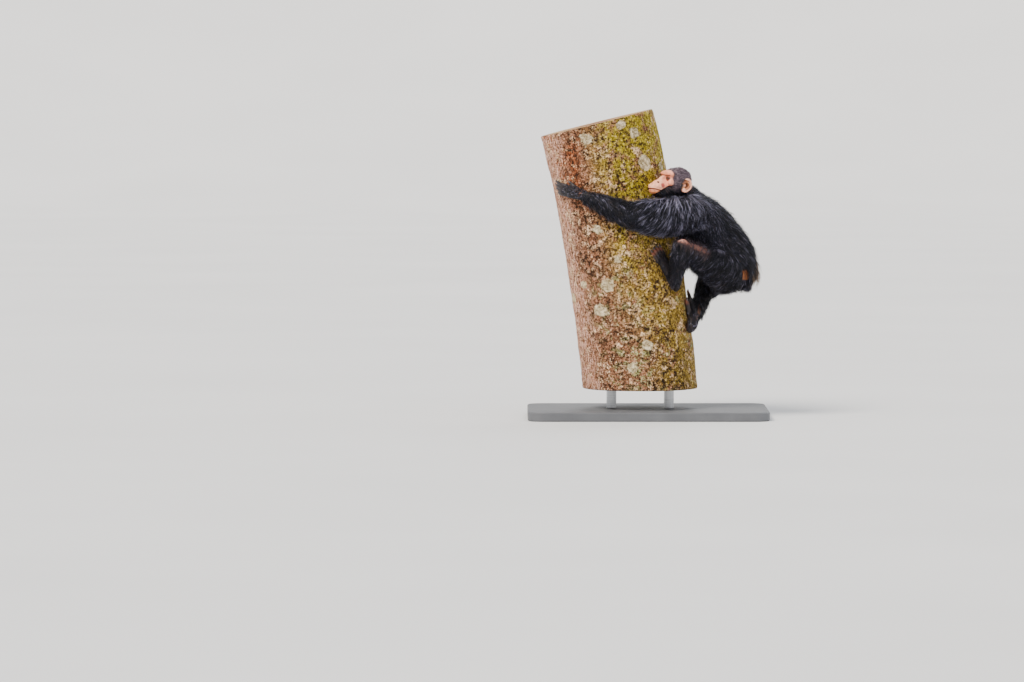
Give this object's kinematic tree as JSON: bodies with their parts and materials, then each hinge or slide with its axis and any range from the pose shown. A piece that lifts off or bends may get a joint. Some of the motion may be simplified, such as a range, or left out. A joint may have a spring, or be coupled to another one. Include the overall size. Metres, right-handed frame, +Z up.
{
  "type": "museum model of a young chimpanzee on a tree trunk",
  "caption": "Life-size still model of a young chimpanzee hugging a cut length of leaning tree trunk, held over a flat display base by short rods.",
  "frame": {"origin": "on the floor, under the middle of the display base", "axes": "+Z up, -X the way the animal faces, -Y its left side"},
  "size_m": [0.96, 0.62, 1.2314],
  "materials": {
    "bark": "rough bark with lichen and moss",
    "stand": "satin grey",
    "rod": "brushed",
    "eye": "polished",
    "face": "painted skin, pale pink",
    "ear": "painted skin, tan",
    "coat": "long black hair",
    "hand": "dark skin of the hands and feet"
  },
  "bodies": {
    "root": {"perch_trunk": "bark", "stand_base": "stand", "stand_rod_left": "rod", "stand_rod_right": "rod", "eye_left": "eye", "eye_right": "eye", "head": "face", "ear_left": "ear", "ear_right": "ear", "torso_upper": "coat", "torso_lower": "coat", "neck": "coat", "upper_arm_left": "coat", "forearm_left": "coat", "hand_left": "hand", "thigh_left": "coat", "shin_left": "coat", "foot_left": "hand", "upper_arm_right": "coat", "forearm_right": "coat", "hand_right": "hand", "thigh_right": "coat", "shin_right": "coat", "foot_right": "hand"}
  },
  "joints": []
}
